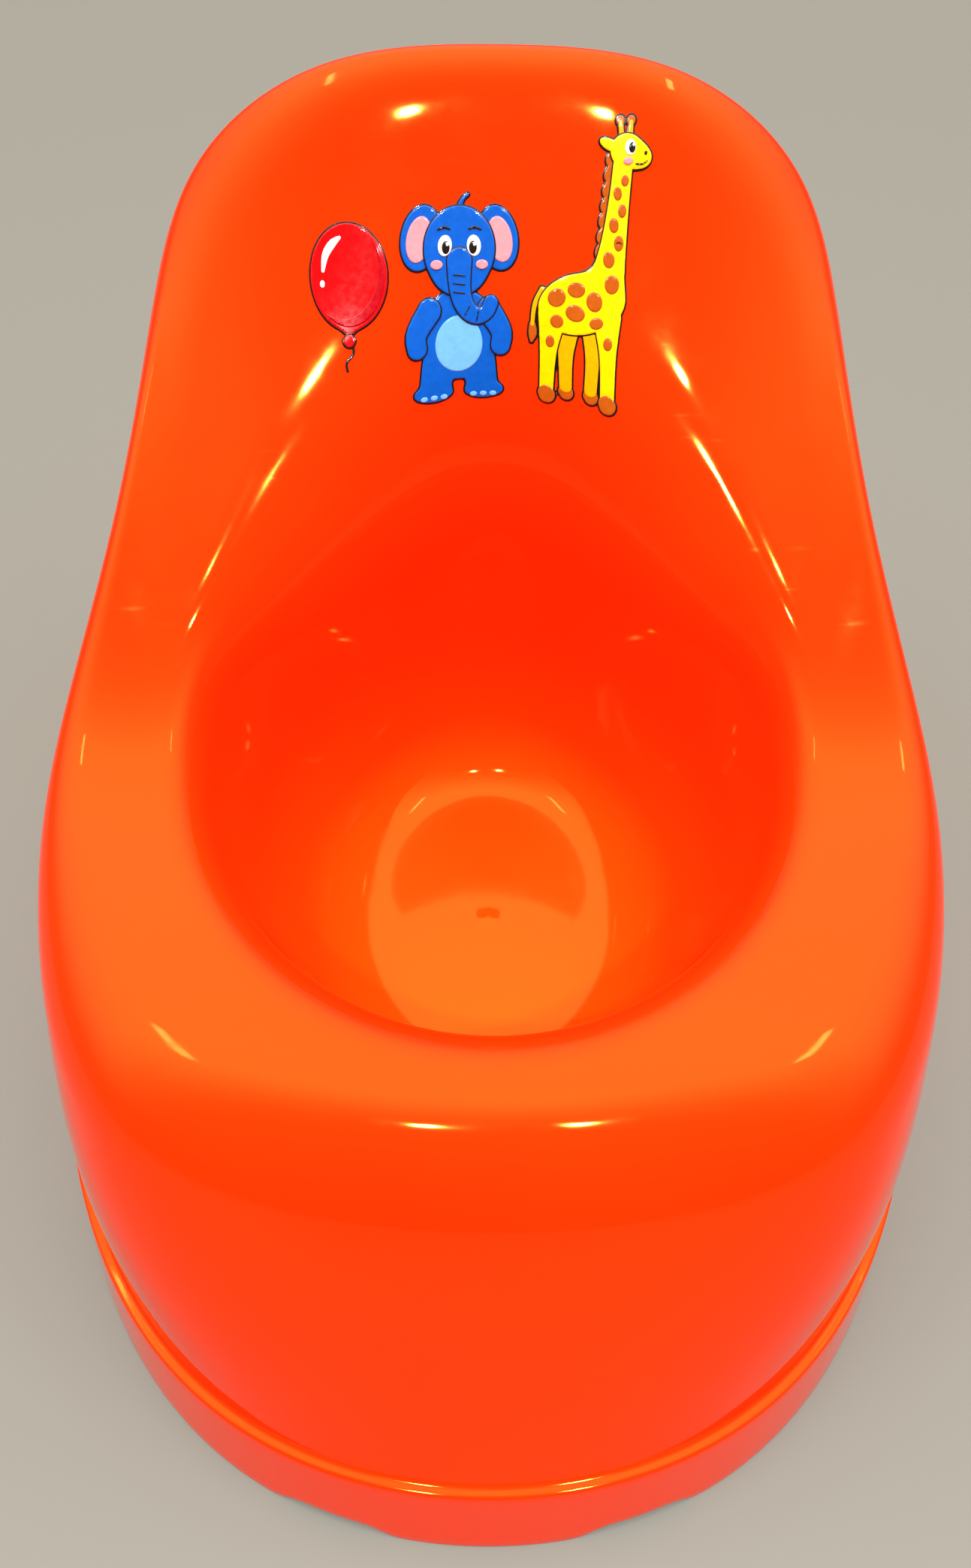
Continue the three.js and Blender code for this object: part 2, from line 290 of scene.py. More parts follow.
def glossy_polypropylene():
    """High-gloss moulded polypropylene: orange, with a faint skin ripple and fine scuffs.

    IOR 1.49 is polypropylene's. The colour goes to a paler shade round the gate in the bowl's floor,
    from 115 mm away to 60 mm: painted light, a pool of light painted on the bowl's floor. It also
    wavers a little with the pigment's flow. The ripple is the slow waviness of a thin moulding, about
    29 mm long. The scuffs are drawn 3 to 5 mm wide and 25 mm long, far coarser than real ones, so that they
    show.
    """
    colours = bpy.context.scene.potty_colours
    material, shader = new_material("glossy_polypropylene")
    place = add_node(material, "ShaderNodeTexCoord").outputs["Object"]
    shader.inputs["IOR"].default_value = POLYPROPYLENE_IOR
    shader.inputs["Specular Tint"].default_value = linear(SHEEN)
    away = add_node(material, "ShaderNodeVectorMath", {"operation": "DISTANCE"})
    material.node_tree.links.new(place, away.inputs[0])
    away.inputs[1].default_value = (0.0, BOWL_Y * MM, BOWL_FLOOR_Z * MM)
    flow = add_node(material, "ShaderNodeTexNoise", noise(FLOW_LENGTH, 3.0, 0.5), Vector=place)
    # Painted light: the base colour is mixed towards the paler shade near the bowl's floor, a painted pool of
    # light; the flow noise adds a little random tone to the mix
    pale = add_node(
        material,
        "ShaderNodeMapRange",
        spread(PAINTED_LIGHT_EDGES[0] * MM, PAINTED_LIGHT_EDGES[1] * MM, PAINTED_LIGHT_SHARE, 0.0, interpolation_type="SMOOTHSTEP"),
        Value=away.outputs["Value"],
    )
    waver = add_node(
        material, "ShaderNodeMapRange", spread(0.3, 0.7, 0.0, FLOW_SHARE), Value=flow.outputs["Fac"]
    )
    share = add_node(material, "ShaderNodeMath", {"operation": "ADD"})
    material.node_tree.links.new(pale.outputs[0], share.inputs[0])
    material.node_tree.links.new(waver.outputs[0], share.inputs[1])
    tint = add_node(material, "ShaderNodeMix", {"data_type": "RGBA"})
    material.node_tree.links.new(share.outputs[0], tint.inputs["Factor"])
    for socket, shade in ((6, colours.shell), (7, colours.shell_painted_light)):
        tint.inputs[socket].default_value = linear(shade)
    material.node_tree.links.new(tint.outputs[2], shader.inputs["Base Color"])
    ripple = add_node(material, "ShaderNodeTexNoise", noise(RIPPLE_LENGTH, 1.0, 0.4), Vector=place)
    haze = add_node(material, "ShaderNodeTexNoise", noise(HAZE_LENGTH, 5.0, 0.6), Vector=place)
    polish = add_node(
        material, "ShaderNodeMapRange", spread(0.35, 0.7, *POLISH), Value=haze.outputs["Fac"]
    )
    drawn_out = add_node(
        material,
        "ShaderNodeMapping",
        {"Rotation": SCUFF_TURN, "Scale": tuple(1 / (size * MM) for size in SCUFF_SIZE)},
        Vector=place,
    )
    scuffs = add_node(
        material,
        "ShaderNodeTexNoise",
        {"Scale": 1.0, "Detail": 1.0, "Roughness": 0.4},
        Vector=drawn_out.outputs[0],
    )
    scuffed = add_node(
        material, "ShaderNodeMapRange", spread(0.68, 0.8, 0.0, SCUFF_ROUGHNESS), Value=scuffs.outputs["Fac"]
    )
    roughness = add_node(material, "ShaderNodeMath", {"operation": "ADD"})
    material.node_tree.links.new(polish.outputs[0], roughness.inputs[0])
    material.node_tree.links.new(scuffed.outputs[0], roughness.inputs[1])
    material.node_tree.links.new(roughness.outputs[0], shader.inputs["Roughness"])
    bump = add_node(
        material,
        "ShaderNodeBump",
        {"Strength": RIPPLE_STRENGTH, "Distance": RIPPLE_HEIGHT * MM},
        Height=ripple.outputs["Fac"],
    )
    material.node_tree.links.new(bump.outputs[0], shader.inputs["Normal"])
    return material


def printed_ink(name, hex_colour):
    """Screen-printed ink under clear gloss vinyl: even colour, slightly mottled by the print.

    The mottle is about 2 mm across, several times a real screen's dots, so that it shows.
    """
    material, shader = new_material(name)
    place = add_node(material, "ShaderNodeTexCoord").outputs["Object"]
    mottle = add_node(material, "ShaderNodeTexNoise", noise(INK_MOTTLE, 3.0, 0.6), Vector=place)
    colour = add_node(material, "ShaderNodeHueSaturation", {"Color": linear(hex_colour)})
    value = add_node(
        material, "ShaderNodeMapRange", spread(0.3, 0.7, *INK_VALUES), Value=mottle.outputs["Fac"]
    )
    material.node_tree.links.new(value.outputs[0], colour.inputs["Value"])
    material.node_tree.links.new(colour.outputs[0], shader.inputs["Base Color"])
    film = add_node(
        material, "ShaderNodeMapRange", spread(0.3, 0.7, *INK_ROUGHNESS), Value=mottle.outputs["Fac"]
    )
    material.node_tree.links.new(film.outputs[0], shader.inputs["Roughness"])
    shader.inputs["IOR"].default_value = INK_IOR
    shader.inputs["Specular IOR Level"].default_value = INK_SPECULAR
    return material


def studio_floor():
    """A plain pale matt floor."""
    material, shader = new_material("studio_floor")
    shader.inputs["Base Color"].default_value = linear(bpy.context.scene.potty_colours.floor)
    shader.inputs["Roughness"].default_value = 0.55
    return material


# ---------------------------------------------------------------- the moulding's shape


def ease(value, low, high):
    """Goes from 0 at low to 1 at high along the quintic 6t^5 - 15t^4 + 10t^3."""
    t = np.clip((value - low) / (high - low), 0, 1)
    return t * t * t * (t * (6 * t - 15) + 10)


def round_chair(phi, front, side, back):
    """A value that goes smoothly from front to side to back; phi is 0 at the front and pi at the back."""
    at_back = ease(-np.cos(phi), 0.0, 1.0)
    at_front = ease(np.cos(phi), 0.0, 0.95)
    value = side + (back - side) * at_back
    return value + (front - value) * at_front


def oval(phi, half_width, front, back, centre_y, z, squareness=0.0):
    """An ellipse leaned towards a rectangle by the third harmonic of its angle.

    Its reach goes smoothly from front to back: the mean reach times the cosine, plus half the
    difference times the cosine squared.
    """
    across = (np.sin(phi) + squareness * np.sin(3 * phi)) / (1 - squareness)
    along = (np.cos(phi) - squareness * np.cos(3 * phi)) / (1 - squareness)
    reach = 0.5 * (front + back) * along + 0.5 * (front - back) * along**2
    return np.stack([half_width * across, centre_y - reach, np.full_like(phi, z)], axis=-1)


def base_oval(phi, z, side, front, back):
    """An oval of the base, standing out from the ledge's outer edge at the side, front and back."""
    return oval(
        phi,
        BASE_HALF_WIDTH + side,
        BASE_FRONT + front,
        BASE_BACK + back,
        BASE_CENTRE_Y,
        z,
        BASE_SQUARENESS,
    )


def rim(phi):
    """The closed uniform cubic B-spline of the rim's control points and their mirror images."""
    half = np.array(RIM_POINTS, float)
    controls = np.concatenate([half, half[-2:0:-1] * (-1, 1, 1)])
    place = phi / (2 * pi) * len(controls)
    first = np.floor(place).astype(int)
    u = (place - first)[:, None]
    weights = ((1 - u) ** 3, 3 * u**3 - 6 * u**2 + 4, -3 * u**3 + 3 * u**2 + 3 * u + 1, u**3)
    return sum(w / 6 * controls[(first + k - 1) % len(controls)] for k, w in enumerate(weights))


def floor_edge(phi):
    """Where the bowl's floor and its funnel wall would meet: an ellipse, longer from front to back."""
    reach = BOWL_FLOOR_REACH
    return oval(phi, BOWL_FLOOR_HALF_WIDTH, reach, reach, BOWL_Y, BOWL_FLOOR_Z)


def lip(phi):
    """Where the funnel wall and the seat would meet: level at the front, then rising over the shoulders.

    With c the cosine of the angle from the back, the rise is in proportion to half of c plus the
    root of c^2 + 0.04, a straight climb with a soft start.
    """
    to_back = -np.cos(phi)
    pointing = LIP_POINTING * ease(to_back, 0.0, 0.8)
    ring = oval(phi, LIP_HALF_WIDTH, LIP_FRONT, LIP_BACK, BOWL_Y, LIP_Z, pointing)
    ring[:, 2] += LIP_RISE * 0.5 * (to_back + np.sqrt(to_back**2 + 0.04))
    return ring


def brow(phi):
    """Part of the way from lip to rim; on the backrest it stands forward of that line."""
    share = round_chair(phi, BROW_AT_SEAT, BROW_AT_SEAT, BROW_AT_BACK)
    ring = lip(phi) + share[:, None] * (rim(phi) - lip(phi))
    ring[:, 1] -= BROW_FORWARD * ease(-np.cos(phi), 0.2, 1.0)
    return ring


def ledge_inner(phi):
    """Where the outer wall meets the ledge."""
    return base_oval(phi, LEDGE_HEIGHT, -LEDGE_WIDTH, -LEDGE_WIDTH, -LEDGE_WIDTH)


def ledge_outer(phi):
    """The ledge's outer edge."""
    return base_oval(phi, LEDGE_HEIGHT, 0, 0, 0)


def belly(phi):
    """Half-way down the outer wall, moved out or in along the level direction away from the middle."""
    out = np.stack([np.sin(phi), -np.cos(phi), np.zeros_like(phi)], axis=-1)
    bow = round_chair(phi, BELLY_FRONT, BELLY_SIDE, BELLY_BACK)
    bow += np.where(np.cos(phi) > 0, BELLY_CORNER * np.sin(2 * phi) ** 2, 0)
    return 0.5 * (rim(phi) + ledge_inner(phi)) + bow[:, None] * out


def foot(phi):
    """The skirt's lower edge: on the floor, but lifted along the skirt in the two relief arches."""
    turn = np.abs(np.arctan2(np.sin(phi), np.cos(phi)))
    in_arch = 1 - ease(np.abs(turn - ARCH_TURN), 0.35 * ARCH_HALF_TURN, ARCH_HALF_TURN)
    on_floor = base_oval(phi, 0, FOOT_FLARE, FOOT_FLARE_FRONT, FOOT_FLARE_BACK)
    lift = (in_arch * ARCH_HEIGHT / LEDGE_HEIGHT)[:, None]
    return on_floor + lift * (ledge_outer(phi) - on_floor)


def foot_inner(phi, wall):
    """The foot's inner lower edge: one wall thickness level and square in from the outer one."""
    along = base_oval(phi + ALONG, 0, 0, 0, 0) - base_oval(phi - ALONG, 0, 0, 0, 0)
    inward = np.stack([-along[:, 1], along[:, 0], np.zeros_like(phi)], axis=-1)
    return foot(phi) + wall * inward / np.linalg.norm(inward, axis=1)[:, None]


def unit(vectors):
    """Vectors scaled to length 1."""
    return vectors / np.linalg.norm(vectors, axis=-1, keepdims=True)


def corner_list():
    """Every corner of the outer section in order: ring, setback of its rounding, steps round and after it."""
    sizes = bpy.context.scene.potty_sizes
    lip_roll = sizes.lip_roll / MM
    rim_roll = sizes.rim_roll / MM
    return (
        (floor_edge, lambda phi: np.full_like(phi, FLOOR_ROLL), 14, 8),
        (lip, lambda phi: lip_roll + LIP_ROLL_GAIN * ease(-np.cos(phi), 0.1, 0.95), 14, 14),
        (brow, lambda phi: round_chair(phi, *BROW_ROLLS), 8, 2),
        (rim, lambda phi: round_chair(phi, RIM_ROLL_FRONT, rim_roll, rim_roll + RIM_ROLL_BACK_GAIN), 16, 8),
        (belly, lambda phi: np.full_like(phi, BELLY_ROLL), 10, 6),
        (ledge_inner, lambda phi: np.full_like(phi, LEDGE_INNER_ROLL), 4, 1),
        (ledge_outer, lambda phi: np.full_like(phi, LEDGE_OUTER_ROLL), 4, 8),
    )


def outer_rings(phi):
    """The outer section's corners at each angle, from the bowl's axis to the foot's outer edge."""
    return [bowl_axis(phi, BOWL_FLOOR_Z), *(ring(phi) for ring, *_ in corner_list()), foot(phi)]


def mitre_inward(rings, ahead, behind, setbacks, wall):
    """Moves each inner corner of a section one wall thickness in.

    The move is along the sum of the two walls' normals, divided by one plus their dot product, which
    is the mitre of two offset walls. A rounding's setback shrinks on a convex corner and grows on a
    concave one by the wall times the tangent of half the bend.
    """
    moved, new_setbacks = [], []
    for k in range(1, len(rings) - 1):
        along = unit(ahead[k] - behind[k])
        into = unit(rings[k] - rings[k - 1])
        onward = unit(rings[k + 1] - rings[k])
        normal_in = unit(np.cross(into, along))
        normal_on = unit(np.cross(onward, along))
        together = 1 + np.sum(normal_in * normal_on, axis=1, keepdims=True)
        moved.append(rings[k] - wall * (normal_in + normal_on) / together)
        cosine = np.clip(np.sum(into * onward, axis=1), -1, 1)
        bend = np.tan(0.5 * np.arccos(cosine))
        convex = np.sign(np.sum(np.cross(into, onward) * along, axis=1))
        new_setbacks.append(np.maximum(0.3, setbacks[k - 1] + convex * wall * bend))
    return moved, new_setbacks


def rounded_section(rings, setbacks, steps, runs):
    """Rows of points along a section whose corners are rounded by quadratic curves.

    Row by row: straight to the start of a corner's curve in runs equal steps, then round the curve
    (1-t)^2 start + 2t(1-t) corner + t^2 end, and at last straight to the section's end. Where two
    neighbours' setbacks would take more than 0.96 of the stretch between them, both shrink to fit.
    """
    pairs = zip(rings, rings[1:], [0, *setbacks], [*setbacks, 0])
    shares = [
        np.minimum(1, MOST_ROUNDED * np.linalg.norm(end - start, axis=1) / (one + other))
        for start, end, one, other in pairs
    ]
    rows = [rings[0]]

    def go_to(target, run):
        start = rows[-1]
        rows.extend(start + (target - start) * step / run for step in range(1, run + 1))

    run = runs[0]
    for k, (setback, count) in enumerate(zip(setbacks, steps)):
        corner = rings[k + 1]
        start = corner + unit(rings[k] - corner) * (setback * shares[k])[:, None]
        end = corner + unit(rings[k + 2] - corner) * (setback * shares[k + 1])[:, None]
        go_to(start, run)
        for step in range(1, count + 1):
            t = step / count
            rows.append((1 - t) ** 2 * start + 2 * t * (1 - t) * corner + t * t * end)
        run = runs[k + 1]
    go_to(rings[-1], run)
    return rows


def bowl_axis(phi, z):
    """The bowl's axis at a height, once for every section."""
    return np.tile([0.0, BOWL_Y, z], (len(phi), 1))


def outer_rows(phi):
    """The upper and outer skin as rows of points, from the bowl's axis to the foot's outer edge."""
    corners = corner_list()
    setbacks = [setback(phi) for _, setback, _, _ in corners]
    steps = [count for _, _, count, _ in corners]
    runs = [FLOOR_RUN, *(run for *_, run in corners)]
    return rounded_section(outer_rings(phi), setbacks, steps, runs)


def whole_section(phi):
    """The closed loop of every section: out over the top, round the foot's edge and back underneath."""
    wall = bpy.context.scene.potty_sizes.wall / MM
    corners = corner_list()
    setbacks = [setback(phi) for _, setback, _, _ in corners]
    rings = outer_rings(phi)
    ahead, behind = outer_rings(phi + ALONG), outer_rings(phi - ALONG)
    under, under_setbacks = mitre_inward(rings, ahead, behind, setbacks, wall)
    edge = np.full_like(phi, FOOT_ROLL)
    loop = [*rings, foot_inner(phi, wall), *under[::-1], bowl_axis(phi, BOWL_FLOOR_Z - wall)]
    loop_setbacks = [*setbacks, edge, edge, *under_setbacks[::-1]]
    steps = [*(count for _, _, count, _ in corners), *UNDER_STEPS]
    runs = [FLOOR_RUN, *(run for *_, run in corners), *UNDER_RUNS]
    return rounded_section(loop, loop_setbacks, steps, runs)


def gate_nub(rows):
    """Raises the trimmed gate in the middle of the bowl's floor as a low, rounded step."""
    radius = bpy.context.scene.potty_sizes.nub_radius / MM
    for row in rows[: FLOOR_RUN + 2]:
        away = np.hypot(row[:, 0], row[:, 1] - BOWL_Y)
        on_floor = np.abs(row[:, 2] - BOWL_FLOOR_Z) < 0.01
        step = NUB_HEIGHT * (1 - ease(away, 0.6 * radius, 1.3 * radius))
        row[:, 2] += np.where(on_floor, step, 0)


# ---------------------------------------------------------------- mesh helpers


def mesh_object(name, vertices, faces, materials, face_materials=None):
    """A smooth-shaded mesh object from vertices in millimetres and a list or array of faces."""
    mesh = bpy.data.meshes.new(name)
    mesh.from_pydata((np.asarray(vertices) * MM).tolist(), [], [list(face) for face in faces])
    mesh.polygons.foreach_set("use_smooth", np.ones(len(mesh.polygons), bool))
    for material in materials:
        mesh.materials.append(material)
    if face_materials is not None:
        mesh.polygons.foreach_set("material_index", np.asarray(face_materials, np.int32))
    mesh.update()
    mesh.validate()
    piece = bpy.data.objects.new(name, mesh)
    bpy.context.scene.collection.objects.link(piece)
    return piece


def loop_faces(columns, rows):
    """Quads between each row and the next, round closed rows of so many columns."""
    here = np.arange(columns)
    there = (here + 1) % columns
    low = np.arange(rows - 1)[:, None] * columns
    quads = np.stack([low + here, low + columns + here, low + columns + there, low + there], axis=-1)
    return quads.reshape(-1, 4)


# ---------------------------------------------------------------- the stickers' drawing


def ellipse(p, centre, radii, turn=0.0):
    """About the distance to an ellipse: with k the length of p/r and m that of p/r^2, it is k(k-1)/m."""
    x, y = p[..., 0] - centre[0], p[..., 1] - centre[1]
    c, s = cos(radians(turn)), sin(radians(turn))
    q = np.stack([x * c + y * s, y * c - x * s], axis=-1) / radii
    k = np.linalg.norm(q, axis=-1)
    return k * (k - 1) / np.maximum(np.linalg.norm(q / radii, axis=-1), 1e-6)


def stroke(p, *points):
    """Distance to a brush stroke through points (x, y, radius).

    Its corners are cut a quarter in from each end, twice over; each straight length then has the
    distance to its nearest point, less the radius there.
    """
    points = np.array(points, float)
    for _ in range(2):
        start, end = points[:-1], points[1:]
        cut = np.stack([0.75 * start + 0.25 * end, 0.25 * start + 0.75 * end], axis=1).reshape(-1, 3)
        points = np.concatenate([points[:1], cut[1:-1], points[-1:]])
    nearest = np.full(p.shape[:-1], np.inf)
    for start, end in zip(points, points[1:]):
        along = end[:2] - start[:2]
        off = p - start[:2]
        t = np.clip(off @ along / (along @ along), 0, 1)
        away = np.linalg.norm(off - t[..., None] * along, axis=-1)
        nearest = np.minimum(nearest, away - (start[2] + (end[2] - start[2]) * t))
    return nearest


def blend(*distances, softness=1.2):
    """Joins shapes with a fillet: the smaller distance, less (softness - gap)^2 / (4 softness) at a join."""
    joined = distances[0]
    for other in distances[1:]:
        gap = np.maximum(softness - np.abs(joined - other), 0)
        joined = np.minimum(joined, other) - gap * gap / (4 * softness)
    return joined


def both_sides(shape, p):
    """A shape and its mirror image."""
    return np.minimum(shape(p), shape(p * (-1, 1)))


def balloon_drawing(p):
    """A balloon on a curly string. Layers from the bottom up: ink, distance."""
    skin = blend(ellipse(p, (0, 6), (12.2, 14)), stroke(p, (0, -6, 3.2), (0, -8.2, 0.7)), softness=3)
    knot = stroke(p, (0, -8.6, 0.5), (0, -10.4, 1.9))
    bends = ((0, -10), (1.5, -12.5), (1.2, -14.6), (-1.2, -16.2), (-0.6, -18.6))
    string = stroke(p, *((*bend, 0.4) for bend in bends))
    balloon = np.minimum(skin, knot)
    shine = stroke(p, (-8.2, 7.0, 0.5), (-7.6, 11.2, 1.1), (-5.2, 14.4, 1.2), (-2.9, 16.0, 0.5))
    glint = ellipse(p, (-8.4, 3.6), (0.75, 1.0))
    shadow = np.maximum(ellipse(p, (0, 6), (11.4, 13.2)), -ellipse(p, (-2.4, 8.4), (11.8, 13.4)))
    crease = stroke(p, (-1.3, -8.9, 0.22), (1.3, -8.9, 0.22))
    return (
        ("outline", np.minimum(balloon - OUTLINE, string)),
        ("red", balloon),
        ("deep_red", shadow),
        ("outline", crease),
        ("white", np.minimum(shine, glint)),
    )


def elephant_drawing(p):
    """An elephant standing up, its trunk curled to one side. Layers from the bottom up: ink, distance."""
    body = blend(
        ellipse(p, (0, -10), (12.6, 13.6)),
        both_sides(lambda q: stroke(q, (6.6, -19, 5.2), (7.4, -25, 5.0)), p),
        both_sides(lambda q: ellipse(q, (8.2, -27.6), (6.2, 2.9)), p),
    )
    arms = both_sides(lambda q: stroke(q, (9.5, -2.5, 3.6), (14.2, -9, 3.2), (13.4, -13.2, 3.0)), p)
    ears = both_sides(lambda q: ellipse(q, (12.2, 17.6), (6.2, 9.0), 14), p)
    ear_insides = both_sides(lambda q: ellipse(q, (12.8, 17.2), (3.9, 6.4), 14), p)
    head = blend(ellipse(p, (0, 14.5), (11.2, 11.8)), ellipse(p, (0, 9), (8.6, 7.4)))
    tuft = stroke(p, (-0.4, 25, 0.9), (0.8, 28.2, 0.5), (2.6, 29.4, 0.35))
    trunk = stroke(
        p,
        *((0, 11, 3.9), (0, 6, 3.5), (0.6, 1, 3.1), (2.8, -3, 2.7)),
        *((6, -4.6, 2.4), (9, -3.4, 2.1), (10.2, -0.6, 2.2)),
    )
    wrinkles = np.minimum.reduce(
        [stroke(p, (-1.9, y, 0.2), (1.8, y - 0.4, 0.2)) for y in (7.4, 5.0, 2.6)]
        + [stroke(p, (3.4, -1.4, 0.2), (1.9, -3.9, 0.2)), stroke(p, (6.2, -2.8, 0.2), (5.6, -5.9, 0.2))]
    )
    toes = both_sides(
        lambda q: np.minimum.reduce([ellipse(q, (x, -29.2), (1.15, 0.85)) for x in (4.8, 8.0, 11.2)]), p
    )
    eyes = both_sides(lambda q: ellipse(q, (4.6, 15.4), (2.2, 2.9), 8), p)
    pupils = both_sides(lambda q: ellipse(q, (4.3, 14.9), (1.25, 1.8)), p)
    glints = np.minimum(ellipse(p, (-3.8, 15.8), (0.5, 0.6)), ellipse(p, (4.8, 15.8), (0.5, 0.6)))
    brows = both_sides(lambda q: stroke(q, (3.0, 19.9, 0.25), (4.8, 20.6, 0.38), (6.8, 19.8, 0.25)), p)
    cheeks = both_sides(lambda q: ellipse(q, (7.2, 10.2), (1.9, 1.3)), p)
    belly = ellipse(p, (0, -12.6), (7.6, 8.6))
    back = np.minimum.reduce([body, arms, ears])
    return (
        ("outline", np.minimum(back, np.minimum(head, tuft)) - OUTLINE),
        ("blue", np.minimum(back, tuft)),
        ("pale_blue", np.minimum.reduce([belly, toes])),
        ("pink", ear_insides),
        ("outline", np.minimum(head, np.maximum(arms, p[..., 1] - 0.5)) - 0.45),
        ("blue", np.minimum(head, arms)),
        ("outline", trunk - 0.4),
        ("blue", trunk),
        ("white", eyes),
        ("outline", np.minimum.reduce([wrinkles, pupils, brows])),
        ("pink", cheeks),
        ("white", glints),
    )


def giraffe_drawing(p):
    """A giraffe standing side on, looking right. Layers from the bottom up: ink, distance."""
    body = blend(
        ellipse(p, (-2.5, -10.5), (13.2, 8.4), 10),
        stroke(p, (5.2, -8, 6.2), (7.6, 4, 4.0), (9.2, 18, 3.1), (10, 27, 3.0)),
        softness=4,
    )
    near_legs = np.minimum(
        stroke(p, (-11, -14, 4.6), (-12.2, -24, 2.5), (-12.4, -36.5, 2.2)),
        stroke(p, (6.4, -14, 4.4), (7.0, -24, 2.4), (7.2, -36.5, 2.2)),
    )
    far_legs = np.minimum(
        stroke(p, (-6, -16, 4.0), (-6.6, -25, 2.2), (-6.2, -35, 2.0)),
        stroke(p, (2, -16, 3.8), (2.2, -25, 2.1), (1.8, -35, 2.0)),
    )
    near_hooves = np.minimum(
        stroke(p, (-12.6, -38, 2.5), (-12.2, -38.6, 2.7)),
        stroke(p, (7.0, -38, 2.5), (7.4, -38.6, 2.7)),
    )
    far_hooves = np.minimum(
        stroke(p, (-6.4, -36.6, 2.1), (-6.0, -37, 2.3)),
        stroke(p, (1.6, -36.6, 2.1), (2.0, -37, 2.3)),
    )
    head = blend(
        ellipse(p, (11.2, 30.6), (5.2, 4.6), -12), ellipse(p, (15.4, 29.0), (3.5, 3.0), -14), softness=2.4
    )
    ear = ellipse(p, (5.6, 32.4), (3.2, 1.5), -24)
    horns = np.minimum(stroke(p, (9.4, 34, 0.8), (8.9, 38, 0.7)), stroke(p, (12.0, 34, 0.8), (12.2, 38, 0.7)))
    knobs = np.minimum(ellipse(p, (8.9, 38.6), (1.35, 1.3)), ellipse(p, (12.2, 38.6), (1.35, 1.3)))
    mane = np.minimum.reduce([ellipse(p, (6.6 - 0.45 * k, 29 - 4.1 * k), (1.7, 2.5), -28) for k in range(9)])
    tail = stroke(p, (-14.4, -7, 0.9), (-17, -11, 0.7), (-17.4, -17, 0.6))
    tuft = stroke(p, (-17.4, -17, 1.0), (-17.2, -19.6, 1.5), (-17.6, -22, 0.5))
    spots = np.minimum.reduce(
        [
            ellipse(p, centre, radii, turn)
            for centre, radii, turn in (
                ((-9.8, -9), (2.9, 2.5), 20),
                ((-3.6, -6.6), (2.8, 2.1), 0),
                ((-3.8, -13), (3.1, 2.3), -10),
                ((2.2, -9.6), (2.5, 2.7), 30),
                ((-9.6, -15.6), (2.1, 1.9), 0),
                ((3.0, -15.4), (2.2, 1.6), 10),
                ((7.6, -4.8), (2.3, 2.5), 0),
                ((6.4, 1.8), (1.8, 2.2), 10),
                ((9.4, 6.2), (1.5, 2.1), 0),
                ((7.7, 11.0), (1.5, 2.0), 8),
                ((10.2, 14.8), (1.3, 1.8), 0),
                ((8.6, 19.4), (1.3, 1.8), 8),
                ((10.8, 22.8), (1.2, 1.5), 0),
                ((-11.6, -21.6), (1.4, 1.8), 0),
                ((6.8, -20.8), (1.4, 1.8), 0),
            )
        ]
    )
    eye = ellipse(p, (12.2, 31.6), (1.7, 2.1))
    pupil = ellipse(p, (12.7, 31.5), (1.0, 1.4))
    glint = ellipse(p, (13.1, 32.2), (0.4, 0.45))
    smile = stroke(p, (14.0, 27.2, 0.22), (16.0, 26.9, 0.25), (17.6, 27.9, 0.22))
    nostril = ellipse(p, (17.0, 30.0), (0.45, 0.6))
    cheek = ellipse(p, (11.6, 28.0), (1.5, 1.0))
    front = np.minimum.reduce([body, near_legs, head, ear])
    behind = np.minimum.reduce([far_legs, far_hooves, near_hooves, horns, knobs, mane, tail, tuft])
    return (
        ("outline", np.minimum(front, behind) - OUTLINE),
        ("brown", np.minimum.reduce([mane, tuft, knobs, far_hooves])),
        ("deep_yellow", np.minimum.reduce([far_legs, tail, horns])),
        ("outline", np.minimum(front, near_hooves) - 0.4),
        ("yellow", front),
        ("brown", np.minimum(near_hooves, spots)),
        ("white", eye),
        ("outline", np.minimum.reduce([pupil, smile, nostril])),
        ("pink", cheek),
        ("white", glint),
    )


